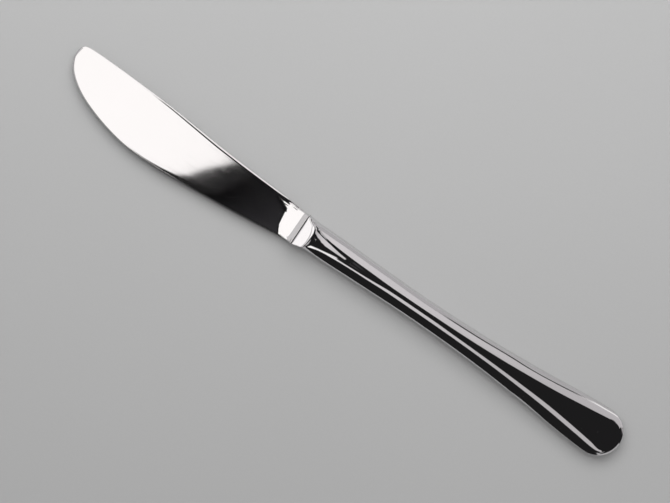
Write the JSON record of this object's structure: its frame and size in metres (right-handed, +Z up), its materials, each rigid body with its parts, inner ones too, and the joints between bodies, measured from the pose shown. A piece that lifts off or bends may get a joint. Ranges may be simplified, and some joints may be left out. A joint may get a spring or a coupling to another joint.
{
  "type": "table knife",
  "caption": "Polished steel table knife with a rounded blade, a stepped bolster and a slim waisted hollow handle with a sunk panel between crest lines, lying on its side.",
  "frame": {"origin": "centre of the knife's own box, on the surface that it lies on", "axes": "+X along the knife's axis towards the tip, +Y towards the cutting edge, +Z up from the surface that it lies on"},
  "size_m": [0.235, 0.0224, 0.0076],
  "materials": {
    "blade_steel": "mirror-polished stainless steel with fine use scratches",
    "handle_steel": "mirror-polished stainless steel, brighter along the crest lines",
    "braze": "ground flush with the shells and polished",
    "cement": "matt dark grey mineral cement"
  },
  "bodies": {
    "root": {"blade": "blade_steel", "handle_shell_upper": "handle_steel", "handle_shell_lower": "handle_steel", "seam_braze": "braze", "tang_cement": "cement"}
  },
  "joints": []
}
